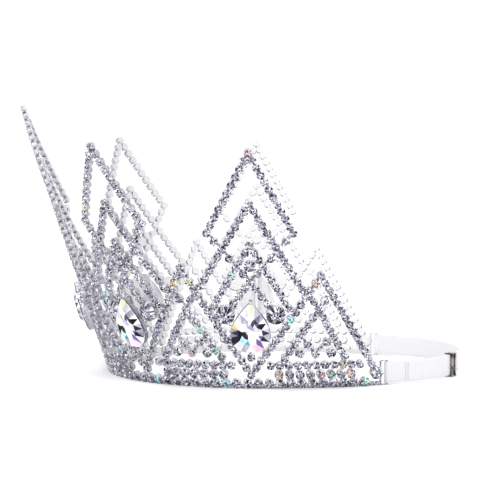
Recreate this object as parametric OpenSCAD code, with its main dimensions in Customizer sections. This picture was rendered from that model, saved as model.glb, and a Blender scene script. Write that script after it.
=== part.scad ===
// Tall bridal tiara: a flared ring of soldered cup chain, pear drops and an adjustable elastic strap.
// Millimetres. +Z is up, the front of the tiara faces -Y and the wearer's left side is +X.
// The origin is the centre of the head opening, on the plane that the base rests on.

/* [Head opening] */
// Radius of the front half of the ring, at its bottom edge
front_r = 72.5; // [66:0.5:80]
// Radius of the two flatter side arcs
side_r = 140; // [130:1:160]
// Turn of each side arc, from the widest point back to the strap's own arc
side_turn = 30; // [28:1:32]
// Turn of each side arc that the metal covers
metal_turn = 24.4; // [23:0.2:25.4]
// Outward lean of the crown, in degrees from upright
flare = 18.5; // [10:0.5:24]

/* [Peaks] */
// Height of the front peak
front_h = 130; // [120:1:140]
// Height of the four other tall peaks
side_h = 111; // [104:1:118]
// Half width of the front peak at its corners
front_w = 24; // [22:0.5:26]
// Half width of the other tall peaks at their corners
side_w = 19.4; // [18:0.2:21]
// Rise of the chevron legs for each millimetre across
leg_rise = 1.7; // [1.5:0.05:1.9]

/* [Cup chain] */
// Radius of a chain cup
cup_r = 1.85; // [1.6:0.05:1.95]
// Height of a chain cup above the ring's surface
cup_h = 2.2; // [1.8:0.1:2.4]
// Distance from one chain cup to the next
pitch = 4.25; // [4:0.05:4.6]
// Width of the link between two cups
link_w = 1.4; // [1:0.1:1.6]
// Thickness of the link between two cups
link_t = 0.6; // [0.4:0.1:0.7]

/* [Set stones] */
// Width of a pear drop stone
drop_w = 17.4; // [15:0.2:18]
// Height of a pear drop stone
drop_h = 24; // [20:0.2:26]
// Radius of the round setting on each side of a drop
round_r = 4.4; // [3.6:0.1:4.6]
// Radius of the band's larger cups
band_r = 2.1; // [1.8:0.05:2.1]
// Distance between the band's larger cups
band_pitch = 5; // [4.6:0.1:8]

/* [Strap] */
// Height of the elastic strap
strap_h = 10; // [8:0.5:10]
// Thickness of one layer of elastic
strap_t = 0.9; // [0.7:0.1:1]
// Height of the strap's lower edge above the table
strap_z = 0.8; // [0.7:0.1:1.5]
// Turn from the strap's start to the slider, on the strap's own arc
slider_turn = 33.2; // [20:0.1:60]
// Width of the slider along the strap
slider_w = 5.2; // [4:0.1:7]

/* [Hidden] */
$fn = 32;

degree = 180 / PI;
quarter = front_r / degree * 90;
side_cx = side_r - front_r;
side_len = side_r / degree * side_turn;
metal_len = quarter + side_r / degree * metal_turn;
back_r = side_r - side_cx / cos(side_turn);
back_cy = side_cx * tan(side_turn);
slack = 0.25;
cup_floor = 0.8;
stone_gap = 0.02;
link_base = 0.1;

// Heights of the band's three rows of cups, and of the foot where two small peaks' legs meet
row_low_z = 2.9;
row_mid_z = 7.1;
row_top_z = 11.6;
foot_z = 7.1;
foot_gap = 8.6;
cross_z = 38.3;
corner_r = 3;

// Small peaks: [place along the ring, height, foot before, foot after, room at the foot after]
front_place = 0;
left_front_place = 59.5;
left_side_place = 111.9;
corner_place = metal_len - 3.3;
small_1 = [31, 61.5, front_place, left_front_place, pitch];
small_2 = [86.2, 58, left_front_place, left_side_place, pitch];
small_3 = [140.3, 54.5, left_side_place, corner_place, corner_r + cup_r + slack];
small_1_mirrored = [-small_1[0], small_1[1]];
smalls = [small_1, small_2, small_3];
// Tall peaks: [place along the ring, height, corner half width, corner height, middle chevron's height,
//              inner chevron's height, kite's lower end, drop's height, small peak before, small peak after]
front_peak = [
  front_place, front_h, front_w, front_h * 0.646, front_h * 0.79,
  front_h * 0.615, 56, 33, small_1_mirrored, small_1
];
left_front_peak = [
  left_front_place, side_h + 2.2, side_w, side_h * 0.7, side_h * 0.785,
  side_h * 0.62, 52, 31.5, small_1, small_2
];
left_side_peak = [
  left_side_place, side_h, side_w, side_h * 0.67, side_h * 0.793,
  side_h * 0.62, 52, 31.5, small_2, small_3
];

// --- The ring's surface: a point is [distance along the base from the front, height] ---

function lean(z) = z * tan(flare);
function turn(s) =
  s <= quarter ? s / front_r * degree :
  s <= quarter + side_len ? 90 + (s - quarter) / side_r * degree :
  90 + side_turn + (s - quarter - side_len) / back_r * degree;
function foot(s) =
  s <= quarter ? [front_r * sin(turn(s)), -front_r * cos(turn(s))] :
  s <= quarter + side_len ? [side_r * sin(turn(s)) - side_cx, -side_r * cos(turn(s))] :
  [back_r * sin(turn(s)), back_cy - back_r * cos(turn(s))];
function at(p) = let (a = turn(p.x), f = foot(p.x), o = lean(p.y)) [f.x + o * sin(a), f.y - o * cos(a), p.y];
// The surface point in line with a point in space
function on(v) =
  v.y <= 0 ? [front_r * atan2(v.x, -v.y) / degree, v.z] :
  [quarter + side_r * atan2(v.y, v.x + side_cx) / degree, v.z];
function mix(a, b, t) = a + (b - a) * t;
// How much wider the flare is at a height than at the base
function growth(s, z) = let (r = s > quarter ? side_r : front_r) (r + lean(z)) / r;
// A peak's own point, w across from its axis and z up, as a surface point
function spot(axis, p) = [axis + p.x / growth(axis + p.x, p.y), p.y];
function across(axis, s, z) = (s - axis) * growth(s, z);

module seat(p) {
  translate(at(p))
    rotate([0, 0, turn(p.x)])
      rotate([90 + flare, 0, 0])
        children();
}

// --- Plane geometry for laying out the chains ---

function cross_at(a, b, c, d) =
  let (r = b - a, q = d - c, k = ((c.x - a.x) * q.y - (c.y - a.y) * q.x) / (r.x * q.y - r.y * q.x)) a + r * k;
// Room that a chain needs where it meets another chain
function room(a, b, c, d) =
  let (r = (b - a) / norm(b - a), q = (d - c) / norm(d - c)) (2 * cup_r + slack) / abs(r.x * q.y - r.y * q.x);

// --- Runs of chain: [axis, start, end, room at the start, room at the end] ---

function run_dots(run) =
  let (p = at(spot(run[0], run[1])), q = at(spot(run[0], run[2])), len = norm(q - p))
  let (free = len - run[3] - run[4], n = floor(free / (2 * cup_r + slack) + 0.02))
  free < -0.8 ? [] :
  n < 1 ? [on(mix(p, q, (run[3] + free / 2) / len))] :
  [for (i = [0:n]) on(mix(p, q, (run[3] + free * i / n) / len))];

module cup(r = cup_r, h = cup_h) {
  rotate_extrude()
    polygon([
      [0, 0], [r, 0], [r, h], [r - 0.25, h], [r - 0.25, cup_floor], [0, cup_floor]
    ]);
}

module stone(r = cup_r, h = cup_h) {
  girdle = r - 0.25 - stone_gap;
  crown = 0.36 * girdle;
  rotate_extrude()
    polygon([
      [0, cup_floor + stone_gap], [girdle * 0.45, cup_floor + stone_gap], [girdle, h - 0.35],
      [girdle, h - 0.1], [girdle * 0.58, h - 0.1 + crown], [0, h - 0.1 + crown]
    ]);
}

// A flat link between two points of the surface, set in from each end
module link(a, b, set_in, set_out) {
  va = at(a);
  vb = at(b);
  face = turn((a.x + b.x) / 2);
  dx = (vb - va) * [cos(face), sin(face), 0];
  dy = (vb.z - va.z) / cos(flare);
  len = norm([dx, dy]);
  seat((a + b) / 2)
    rotate([0, 0, atan2(dy, dx)])
      translate([set_in - len / 2, -link_w / 2, link_base])
        cube([len - set_in - set_out, link_w, link_t]);
}

// Cups along each run, the links that bite into their walls, and a stub of link beyond each end
bite = cup_r - 0.45;
module chain(runs) {
  for (run = runs) {
    dots = run_dots(run);
    last = len(dots) - 1;
    for (dot = dots) seat(dot) cup();
    if (last > 0)
      for (i = [1:last]) link(dots[i - 1], dots[i], bite, bite);
    if (last >= 0) {
      stub(at(dots[0]), at(spot(run[0], run[1])));
      stub(at(dots[last]), at(spot(run[0], run[2])));
    }
  }
}

module chain_stones(runs) {
  for (run = runs)
    for (dot = run_dots(run)) seat(dot) stone();
}

// --- Tall peaks ---

// The leg of the small peak that closes a tall peak on one side, as its top and foot
function leg_top(peak, small) = [across(peak[0], small[0], small[1]), small[1]];
leg_foot = [0, foot_z];
function first(side) = side > 0 ? 0 : pitch * 1.06;

function chevron(peak, side, top_z) =
  let (top = [0, top_z], leg = leg_top(peak, side < 0 ? peak[8] : peak[9]))
  let (end = cross_at(top, [side, top_z - leg_rise], leg, leg_foot))
  [peak[0], top, end, first(side), room(top, end, leg, leg_foot)];

function outer_side(peak, side) =
  let (a = peak[0], top = [0, peak[1]], corner = [side * peak[2], peak[3]], low = [0, peak[6]])
  let (mid = chevron(peak, side, peak[4]), inn = chevron(peak, side, peak[5]))
  let (x1 = cross_at(corner, low, mid[1], mid[2]), x2 = cross_at(corner, low, inn[1], inn[2]))
  let (g1 = room(corner, low, mid[1], mid[2]), g2 = room(corner, low, inn[1], inn[2]))
  [
    [a, top, corner, first(side), 0],
    [a, corner, x1, pitch, g1],
    [a, x1, x2, g1, g2],
    [a, x2, low, g2, first(side)]
  ];

function outer_runs(peak) = concat(outer_side(peak, -1), outer_side(peak, 1));
function middle_runs(peak) = [for (side = [-1, 1]) chevron(peak, side, peak[4])];
function inner_runs(peak) = [for (side = [-1, 1]) chevron(peak, side, peak[5])];

// The garland between the kite's lower end and the two round stones
function round_spot(peak, side) = [side * 11.3, peak[7] + 4.9];
function garland_runs(peak) = [
  for (side = [-1, 1])
    let (start = [0, peak[6]], end = round_spot(peak, side))
    [peak[0], start, end, pitch, round_r + cup_r + slack]
];
top_round_r = 2.6;
function top_round_spot(peak) = [0, peak[6] + 7.3];
function cluster_spots(peak) = [[0, foot_z + 8.6]];

function pear(w, h, n) = [
  for (i = [0:n - 1])
    let (t = 360 * i / n) [w / 1.54 * sin(t) * sin(t / 2), h / 2 * cos(t)]
];
drop_base = 3.1;
drop_wall = 0.6;
module pear_slab(grow, z, t) {
  translate([0, 0, z])
    linear_extrude(t)
      polygon(pear(drop_w + 2 * grow, drop_h + 2 * grow, 48));
}

module drop_setting(peak) {
  color("silver")
  seat(spot(peak[0], [0, peak[7]])) {
    difference() {
      pear_slab(drop_wall, drop_base, 1.9);
      pear_slab(stone_gap, drop_base + cup_floor, 2);
    }
    // Four claws over the stone's edge
    for (claw = [[0, drop_h / 2 - 0.4], [0, -drop_h / 2 + 0.1], [-drop_w / 2, -4.6], [drop_w / 2, -4.6]])
      translate([claw.x * 1.035, claw.y * 1.035, drop_base + 0.2])
        cylinder(r = 0.6, h = 2.6);
    // Back bar that carries the drop, and its posts
    translate([-link_w / 2, -drop_h / 2 - 1, link_base])
      cube([link_w, drop_h + 1, link_t]);
    for (y = [-8, 6])
      translate([0, y, link_base])
        cylinder(r = 0.8, h = drop_base);
  }
}

module drop_stone(peak) {
  color("lightsteelblue")
  seat(spot(peak[0], [0, peak[7]]))
    hull() {
      pear_slab(-6, drop_base + cup_floor + stone_gap, 0.05);
      pear_slab(-0.1, drop_base + 2.1, 0.35);
      pear_slab(-4, drop_base + 4.6, 0.05);
    }
}

module accent_settings(peak) {
  color("silver") {
    chain(garland_runs(peak));
    seat(spot(peak[0], top_round_spot(peak))) cup(top_round_r, 2.6);
    for (side = [-1, 1])
      seat(spot(peak[0], round_spot(peak, side))) cup(round_r, 3.2);
    for (p = cluster_spots(peak)) seat(spot(peak[0], p)) cup();
  }
}

module peak_stones(peak) {
  color("lightsteelblue") {
    chain_stones(outer_runs(peak));
    chain_stones(middle_runs(peak));
    chain_stones(inner_runs(peak));
    chain_stones(garland_runs(peak));
    seat(spot(peak[0], top_round_spot(peak))) stone(top_round_r, 2.6);
    for (side = [-1, 1])
      seat(spot(peak[0], round_spot(peak, side))) stone(round_r, 3.2);
    for (p = cluster_spots(peak)) seat(spot(peak[0], p)) stone();
  }
}

// --- Small peaks: a long pair of legs, two crossing inner lines and a small V ---

function small_foot(small, side) =
  let (s = side < 0 ? small[2] : small[3]) [across(small[0], s, foot_z), foot_z];
vee_drop = 12.5;
vee_z = 17;
inner_foot_w = 16.3;

function small_side(small, side) =
  let (a = small[0], top = [0, small[1]], x = [0, cross_z])
  let (end = small_foot(small, side), low = [side * inner_foot_w, row_top_z])
  let (far_top = small_foot(small, -side), up = cross_at(x, low, top, far_top))
  let (row = [low + [1, 0], low], vee_top = mix(x, low, vee_drop / (x.y - row_top_z)), vee_end = [0, vee_z])
  [
    [a, top, end, first(side), side > 0 ? small[4] : pitch],
    [a, x, low, first(side), room(x, low, row[0], row[1])],
    [a, x, up, pitch, room(x, up, top, far_top)],
    [a, vee_top, vee_end, room(vee_top, vee_end, x, low), first(side)]
  ];
function small_runs(small) = concat(small_side(small, -1), small_side(small, 1));
function nook_spot(side) = [side * 7.4, vee_z + 0.4];

module small_chain(small) {
  color("silver") {
    chain(small_runs(small));
    for (side = [-1, 1]) seat(spot(small[0], nook_spot(side))) cup(band_r);
  }
}

module small_stones(small) {
  color("lightsteelblue") {
    chain_stones(small_runs(small));
    for (side = [-1, 1]) seat(spot(small[0], nook_spot(side))) stone(band_r);
  }
}

// --- Band: bottom row on a flat backing rail, middle settings and top row ---

low_count = floor((corner_place - corner_r - slack) / band_pitch);
function low_spot(i) = [i * band_pitch, row_low_z];
mid_gap = 12.4;
function mid_spots() = [
  for (small = smalls)
    let (from = small[2] + mid_gap, to = small[3] - mid_gap, n = round((to - from) / band_pitch))
    for (i = [0:n]) [from + (to - from) * i / n, row_mid_z]
];
function foot_spots() = [for (s = [front_place, left_front_place, left_side_place]) [s, foot_z]];
function top_end(small, s) = [across(small[0], s, row_top_z), row_top_z];
function top_run(small) =
  [small[0], top_end(small, small[2] + foot_gap), top_end(small, small[3] - foot_gap), 0, 0];
rail_in = 0.4;
rail_out = 0.9;
rail_h = 2;

module right() {
  mirror([1, 0, 0]) children();
}
module both() {
  children();
  mirror([1, 0, 0]) children();
}

module rail_arc(r, from, to) {
  rotate([0, 0, from])
    rotate_extrude(angle = to - from, $fn = 128)
      translate([r - rail_in, 0])
        square([rail_in + rail_out, rail_h]);
}

module band_bottom_row() {
  color("silver") {
    rail_arc(front_r, 180, 360);
    both()
      translate([-side_cx, 0, 0])
        rail_arc(side_r, 0, metal_turn);
    seat(low_spot(0)) cup(band_r);
    both()
      for (i = [1:low_count]) seat(low_spot(i)) cup(band_r);
  }
}

module band_top_row() {
  color("silver")
    both()
      for (small = smalls) chain([top_run(small)]);
}

corner_spot = [corner_place, foot_z];

module half_band_settings() {
  for (p = mid_spots()) seat(p) cup(band_r);
  for (p = foot_spots()) if (p.x > 0) seat(p) cup();
  seat(corner_spot) cup(corner_r, 2.6);
}

module band_settings() {
  color("silver") {
    both() half_band_settings();
    seat(foot_spots()[0]) cup();
  }
}

module half_band_stones() {
  for (i = [1:low_count]) seat(low_spot(i)) stone(band_r);
  for (small = smalls) chain_stones([top_run(small)]);
  for (p = mid_spots()) seat(p) stone(band_r);
  for (p = foot_spots()) if (p.x > 0) seat(p) stone();
  seat(corner_spot) stone(corner_r, 2.6);
}

module band_stones() {
  color("lightsteelblue") {
    both() half_band_stones();
    seat(low_spot(0)) stone(band_r);
    seat(foot_spots()[0]) stone();
  }
}

// --- Stubs: each run reaches out to the chain that it meets, and stops just short of it ---

stub_gap = 0.12;
stub_min = 0.15;
// Every cup and link as [place, radius]; a link is a row of points
function run_bodies(run) =
  let (dots = [for (dot = run_dots(run)) at(dot)])
  [
    for (v = dots) [v, cup_r],
    if (len(dots) > 1)
      for (i = [1:len(dots) - 1], t = [0.3:0.08:0.7]) [mix(dots[i - 1], dots[i], t), link_w / 2]
  ];
function peak_bodies(peak) = [
  for (run = concat(outer_runs(peak), middle_runs(peak), inner_runs(peak), garland_runs(peak)))
    each run_bodies(run),
  for (side = [-1, 1]) [at(spot(peak[0], round_spot(peak, side))), round_r],
  for (p = cluster_spots(peak)) [at(spot(peak[0], p)), cup_r],
  [at(spot(peak[0], top_round_spot(peak))), top_round_r]
];
function small_bodies(small) = [
  for (run = concat(small_runs(small), [top_run(small)])) each run_bodies(run),
  for (side = [-1, 1]) [at(spot(small[0], nook_spot(side))), band_r]
];
half_bodies = concat(
  peak_bodies(front_peak), peak_bodies(left_front_peak), peak_bodies(left_side_peak),
  small_bodies(small_1), small_bodies(small_2), small_bodies(small_3),
  [for (p = mid_spots()) [at(p), band_r]],
  [for (p = foot_spots()) [at(p), cup_r]],
  [[at(corner_spot), corner_r]]
);
bodies = concat(half_bodies, [for (b = half_bodies) [[-b[0].x, b[0].y, b[0].z], b[1]]]);

// How far a stub can grow from a point towards another before it comes near a cup or a link
function stub_len(v, w) =
  let (reach = norm(w - v), ahead = (w - v) / reach)
  min([
    reach,
    for (b = bodies)
      let (d = b[0] - v, along = d * ahead, off = norm(d - along * ahead), r = b[1] + stub_gap)
      if (along > 0 && along < reach + r && off < r + link_w / 2)
        along - sqrt(pow(r, 2) - pow(max(off - link_w / 2, 0), 2))
  ]);
module stub(v, w) {
  if (norm(w - v) > cup_r) {
    grown = stub_len(v, w);
    if (grown > cup_r + stub_min) link(on(v), on(mix(v, w, grown / norm(w - v))), bite, 0);
  }
}

// --- Strap, its end loops and the slider ---

wire_r = 0.5;
loop_gap = 0.4;
loop_len = 3.4;
loop_z = strap_z - loop_gap;
loop_h = strap_h + 2 * loop_gap;
loop_from = metal_turn + 0.3;
loop_to = loop_from + loop_len / side_r * degree;

// Wire loop at one end of the metal: two uprights joined by a short rail at the top and the bottom
loop_rail = 0.8 * wire_r;
loop_inset = 0.06;
module end_loop() {
  color("silver")
    translate([-side_cx, 0, 0]) {
      for (a = [loop_from, loop_to])
        rotate([0, 0, a])
          translate([side_r, 0, 0])
            cylinder(r = wire_r, h = loop_h + 2 * loop_z);
      for (z = [loop_inset, loop_h + 2 * loop_z - loop_rail - loop_inset])
        rotate([0, 0, (loop_from + loop_to) / 2])
          translate([side_r - loop_rail, -loop_len / 2, z])
            cube([2 * loop_rail, loop_len, loop_rail]);
    }
}

// The elastic's centre line in plan, as [distance along the ring, distance outwards]:
// a hem round the right loop, the run round the back of the head, and a return from the left loop
half_ring = quarter + side_len + back_r / degree * (90 - side_turn);
wire_s = quarter + side_r / degree * loop_to;
right_wire_s = 2 * half_ring - wire_s;
layer_gap = 0.06;
layer_off = wire_r + layer_gap + strap_t / 2;
return_off = strap_t + layer_gap - layer_off;
slider_s = quarter + side_len + back_r / degree * slider_turn;
hem_len = 12;
closing_len = 9;
strap_step = 2;

function layer_points(from, to) =
  let (n = ceil(norm(to - from) / strap_step))
  [for (i = [0:n]) mix(from, to, i / n)];
function plan(q) =
  q.x > half_ring ? let (m = plan([2 * half_ring - q.x, q.y])) [-m.x, m.y] :
  foot(q.x) + q.y * [sin(turn(q.x)), -cos(turn(q.x))];
function elastic_line() = concat(
  layer_points([slider_s, return_off], [wire_s + closing_len, return_off]),
  [[wire_s + closing_len * 0.55, mix(return_off, layer_off, 0.45)]],
  strap_turn_left(),
  layer_points([wire_s, -layer_off], [right_wire_s, -layer_off]),
  strap_turn_right(),
  [[right_wire_s - closing_len * 0.55, mix(return_off, layer_off, 0.45)]],
  layer_points([right_wire_s - closing_len, return_off], [right_wire_s - hem_len, return_off])
);
function strap_turn_left() = [
  for (a = [90:-20:-70]) [wire_s - layer_off * cos(a), layer_off * sin(a)]
];
function strap_turn_right() = [
  for (a = [-70:20:90]) [right_wire_s + layer_off * cos(a), layer_off * sin(a)]
];

// The two edges of a band of cloth drawn along a line
function edge(line, off) = [
  for (i = [0:len(line) - 1])
    let (a = line[max(i - 1, 0)], b = line[min(i + 1, len(line) - 1)], d = (b - a) / norm(b - a))
    line[i] + off * [-d.y, d.x]
];
function reversed(list) = [for (i = [len(list) - 1:-1:0]) list[i]];

module strap() {
  line = [for (q = elastic_line()) plan(q)];
  color("white")
    translate([0, 0, strap_z])
      linear_extrude(strap_h)
        polygon(concat(edge(line, strap_t / 2), reversed(edge(line, -strap_t / 2))));
}

// Two rows of stitches through both layers of elastic, beside each end loop
stitch_off = return_off + strap_t / 2 + stone_gap;
stitch_count = 7;
stitch_s = wire_s + closing_len + 0.9;
stitch_gap = 1.4;
module stitch_rows() {
  for (row = [0, 1], i = [0:stitch_count - 1])
    translate(concat(plan([stitch_s + row * stitch_gap, stitch_off]), strap_z + 0.9 + i * strap_h / 8))
      rotate([0, 0, turn(wire_s + closing_len) - 90])
        cube([0.2, 0.35, 1]);
}
module strap_stitching() {
  color("gainsboro") both() stitch_rows();
}

slider_fit = 0.15;
slider_wall = 0.5;
slider_bar_w = 1.5;
slider_bar_t = 0.9;
slider_front_t = 1;
slider_in = back_r - layer_off - strap_t / 2 - slider_fit;
slider_out = back_r + return_off + strap_t / 2 + slider_fit;
slider_low = strap_z - slider_fit;
slider_high = strap_z + strap_h + slider_fit;

// A block that follows the strap's back arc, centred on the slider, w long from a start along the arc
module arc_block(r0, r1, z0, z1, start, w) {
  translate([0, back_cy, 0])
    rotate([0, 0, side_turn + slider_turn + start / back_r * degree])
      translate([0, 0, z0])
        rotate_extrude(angle = w / back_r * degree, $fn = 128)
          translate([r0, 0])
            square([r1 - r0, z1 - z0]);
}

// One block with the strap's channel cut along it and a window cut between the two outer bars
module slider_frame() {
  low = slider_low - slider_wall;
  high = slider_high + slider_wall;
  color("silver")
    difference() {
      arc_block(slider_in - slider_bar_t, slider_out + slider_front_t, low, high, -slider_w / 2, slider_w);
      arc_block(slider_in - 2, slider_out, slider_low, slider_high, -slider_w, 2 * slider_w);
      arc_block(slider_out - 1, slider_out + 2, slider_low, slider_high,
        slider_bar_w - slider_w / 2, slider_w - 2 * slider_bar_w);
    }
}

module slider_bar() {
  color("silver")
    arc_block(slider_in - slider_bar_t, slider_in, slider_low, slider_high, -slider_bar_t, 2 * slider_bar_t);
}

// --- Named parts ---

module outer_chain(peak) {
  color("silver") chain(outer_runs(peak));
}
module middle_chain(peak) {
  color("silver") chain(middle_runs(peak));
}
module inner_chain(peak) {
  color("silver") chain(inner_runs(peak));
}

outer_chain(front_peak);  // front_outer_chain
middle_chain(front_peak);  // front_middle_chain
inner_chain(front_peak);  // front_inner_chain
drop_setting(front_peak);  // front_drop_setting
drop_stone(front_peak);  // front_drop_stone
accent_settings(front_peak);  // front_accent_settings
peak_stones(front_peak);  // front_stones
outer_chain(left_front_peak);  // left_front_outer_chain
middle_chain(left_front_peak);  // left_front_middle_chain
inner_chain(left_front_peak);  // left_front_inner_chain
drop_setting(left_front_peak);  // left_front_drop_setting
drop_stone(left_front_peak);  // left_front_drop_stone
accent_settings(left_front_peak);  // left_front_accent_settings
peak_stones(left_front_peak);  // left_front_stones
right() outer_chain(left_front_peak);  // right_front_outer_chain
right() middle_chain(left_front_peak);  // right_front_middle_chain
right() inner_chain(left_front_peak);  // right_front_inner_chain
right() drop_setting(left_front_peak);  // right_front_drop_setting
right() drop_stone(left_front_peak);  // right_front_drop_stone
right() accent_settings(left_front_peak);  // right_front_accent_settings
right() peak_stones(left_front_peak);  // right_front_stones
outer_chain(left_side_peak);  // left_side_outer_chain
middle_chain(left_side_peak);  // left_side_middle_chain
inner_chain(left_side_peak);  // left_side_inner_chain
drop_setting(left_side_peak);  // left_side_drop_setting
drop_stone(left_side_peak);  // left_side_drop_stone
accent_settings(left_side_peak);  // left_side_accent_settings
peak_stones(left_side_peak);  // left_side_stones
right() outer_chain(left_side_peak);  // right_side_outer_chain
right() middle_chain(left_side_peak);  // right_side_middle_chain
right() inner_chain(left_side_peak);  // right_side_inner_chain
right() drop_setting(left_side_peak);  // right_side_drop_setting
right() drop_stone(left_side_peak);  // right_side_drop_stone
right() accent_settings(left_side_peak);  // right_side_accent_settings
right() peak_stones(left_side_peak);  // right_side_stones
small_chain(small_1);  // left_small_1_chain
small_stones(small_1);  // left_small_1_stones
right() small_chain(small_1);  // right_small_1_chain
right() small_stones(small_1);  // right_small_1_stones
small_chain(small_2);  // left_small_2_chain
small_stones(small_2);  // left_small_2_stones
right() small_chain(small_2);  // right_small_2_chain
right() small_stones(small_2);  // right_small_2_stones
small_chain(small_3);  // left_small_3_chain
small_stones(small_3);  // left_small_3_stones
right() small_chain(small_3);  // right_small_3_chain
right() small_stones(small_3);  // right_small_3_stones
band_bottom_row();
band_top_row();
band_settings();
band_stones();
end_loop();  // left_end_loop
right() end_loop();  // right_end_loop
strap();
strap_stitching();
slider_frame();
slider_bar();
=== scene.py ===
"""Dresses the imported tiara: cut stones, claws, polished cup chain, ribbed strap and slider."""
import logging
import math
import random
from dataclasses import dataclass, field
from enum import Enum

import bmesh
import bpy
import numpy as np
from bpy.types import Material, Node, NodeSocket, NodeTree, Object
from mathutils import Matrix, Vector


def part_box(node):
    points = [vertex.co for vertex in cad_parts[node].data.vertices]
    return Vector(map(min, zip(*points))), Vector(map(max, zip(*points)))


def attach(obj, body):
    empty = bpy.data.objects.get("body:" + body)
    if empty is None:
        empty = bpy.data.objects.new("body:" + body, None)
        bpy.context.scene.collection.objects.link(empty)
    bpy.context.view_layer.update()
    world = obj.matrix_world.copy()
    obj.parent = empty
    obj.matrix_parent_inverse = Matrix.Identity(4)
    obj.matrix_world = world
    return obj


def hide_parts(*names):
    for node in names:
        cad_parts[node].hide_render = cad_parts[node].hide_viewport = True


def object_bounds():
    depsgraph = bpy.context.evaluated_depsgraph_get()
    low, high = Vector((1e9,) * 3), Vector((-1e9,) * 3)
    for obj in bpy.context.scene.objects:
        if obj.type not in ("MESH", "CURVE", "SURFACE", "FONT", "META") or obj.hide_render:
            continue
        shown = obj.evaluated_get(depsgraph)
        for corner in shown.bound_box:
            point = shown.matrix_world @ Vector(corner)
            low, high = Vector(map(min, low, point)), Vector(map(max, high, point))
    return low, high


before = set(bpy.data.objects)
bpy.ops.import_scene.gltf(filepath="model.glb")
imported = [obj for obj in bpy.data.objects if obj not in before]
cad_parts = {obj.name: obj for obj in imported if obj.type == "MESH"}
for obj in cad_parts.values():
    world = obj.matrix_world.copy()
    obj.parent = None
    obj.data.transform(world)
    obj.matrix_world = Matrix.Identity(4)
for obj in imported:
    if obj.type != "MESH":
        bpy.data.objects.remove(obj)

CAD_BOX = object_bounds()
MM = 0.001
CROWN = "crown"
WELD_MM = 0.002  # CAD points nearer than this are one point
FIERY, BAND_FIERY = 0.07, 0.1  # how likely a stone is to have fire, coloured glints painted on some of its facets
FOIL_LOOK = (0.93, 0.0, 0.0)  # the tone, fire and coat of a stone's back
FLARE_RISE = 0.33  # how far the crown's front faces down, to 1 outward
INNER_WEAR_AND_SHADE, INNER_MATT = 0.12, 0.4  # share of the inner face under dark patches, low so that the face is painted lighter, and its added roughness
log = logging.getLogger("tiara")


class Slot(Enum):
    """The record's material slots."""

    METAL = "crown_metal"
    CRYSTAL = "crystal"
    DROP = "drop_crystal"
    ELASTIC = "elastic"
    THREAD = "thread"
    SLIDER = "slider_metal"


class TallPeakName(Enum):
    """The five tall peaks, as their CAD nodes' names start."""

    FRONT = "front"
    LEFT_FRONT = "left_front"
    RIGHT_FRONT = "right_front"
    LEFT_SIDE = "left_side"
    RIGHT_SIDE = "right_side"


class SmallPeakName(Enum):
    """The six small peaks, as their CAD nodes' names start."""

    LEFT_1 = "left_small_1"
    RIGHT_1 = "right_small_1"
    LEFT_2 = "left_small_2"
    RIGHT_2 = "right_small_2"
    LEFT_3 = "left_small_3"
    RIGHT_3 = "right_small_3"


# --- Shaders and finishes ---


class Wiring:
    """A node tree in the making."""

    def __init__(self, tree: NodeTree) -> None:
        """Takes up a tree."""
        self.tree = tree

    def feed(self, value: object, socket: NodeSocket) -> None:
        """Feeds a node's input.

        Args:
            value: A socket, a number or a colour.
            socket: The input.
        """
        if isinstance(value, NodeSocket):
            self.tree.links.new(value, socket)
        else:
            socket.default_value = value

    def node(self, kind: str, *values: object, **settings: object) -> Node:
        """Adds a node.

        Args:
            kind: Blender's name for it.
            values: What feeds its first inputs.
            settings: Its settings.

        Returns:
            The node.
        """
        node = self.tree.nodes.new(kind)
        for name, setting in settings.items():
            setattr(node, name, setting)
        for place, value in enumerate(values):
            self.feed(value, node.inputs[place])
        return node

    def fill(self, node: Node, values: dict) -> Node:
        """Feeds a node's named inputs.

        Args:
            node: The node.
            values: A number, a colour or a socket for each name.

        Returns:
            The node.
        """
        for name, value in values.items():
            self.feed(value, node.inputs[name])
        return node

    def maths(self, operation: str, a: object, b: object, clamp: bool = False) -> NodeSocket:
        """Adds a Math node.

        Args:
            operation: Blender's name for the sum.
            a: A socket or a number.
            b: A socket or a number.
            clamp: True to keep the result between 0 and 1.

        Returns:
            The node's value socket.
        """
        return self.node("ShaderNodeMath", a, b, operation=operation, use_clamp=clamp).outputs[0]

    def blend(self, factor: object, a: object, b: object) -> NodeSocket:
        """Adds a colour Mix node.

        Args:
            factor: A socket or a number, 0 for a and 1 for b.
            a: A socket or a colour.
            b: A socket or a colour.

        Returns:
            The node's colour socket.
        """
        node = self.node("ShaderNodeMix", data_type="RGBA")
        for name, value in (("Factor", factor), ("A", a), ("B", b)):
            self.feed(value, next(s for s in node.inputs if s.name == name and s.enabled))
        return next(s for s in node.outputs if s.enabled)

    def place(self) -> NodeSocket:
        """Returns the socket for a point's place in its object."""
        return self.node("ShaderNodeTexCoord").outputs["Object"]

    def noise(self, scale: object, detail: float) -> NodeSocket:
        """Adds a Noise texture.

        Args:
            scale: A socket or a number.
            detail: The noise's detail.

        Returns:
            The node's Fac socket.
        """
        values = {"Vector": self.place(), "Scale": scale, "Detail": detail}
        return self.fill(self.node("ShaderNodeTexNoise"), values).outputs["Fac"]

    def ramp(self, factor: NodeSocket, stops: list) -> NodeSocket:
        """Adds a Color Ramp.

        Args:
            factor: The socket that picks the place on the ramp.
            stops: (place, colour) for each stop, in order.

        Returns:
            The ramp's colour socket.
        """
        node = self.node("ShaderNodeValToRGB", factor)
        elements = node.color_ramp.elements
        ends = [elements[0], elements[1]]
        for element, (place, colour) in zip(ends, (stops[0], stops[-1])):
            element.position = place
            element.color = (*colour, 1)
        for place, colour in stops[1:-1]:
            elements.new(place).color = (*colour, 1)
        return node.outputs["Color"]


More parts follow.
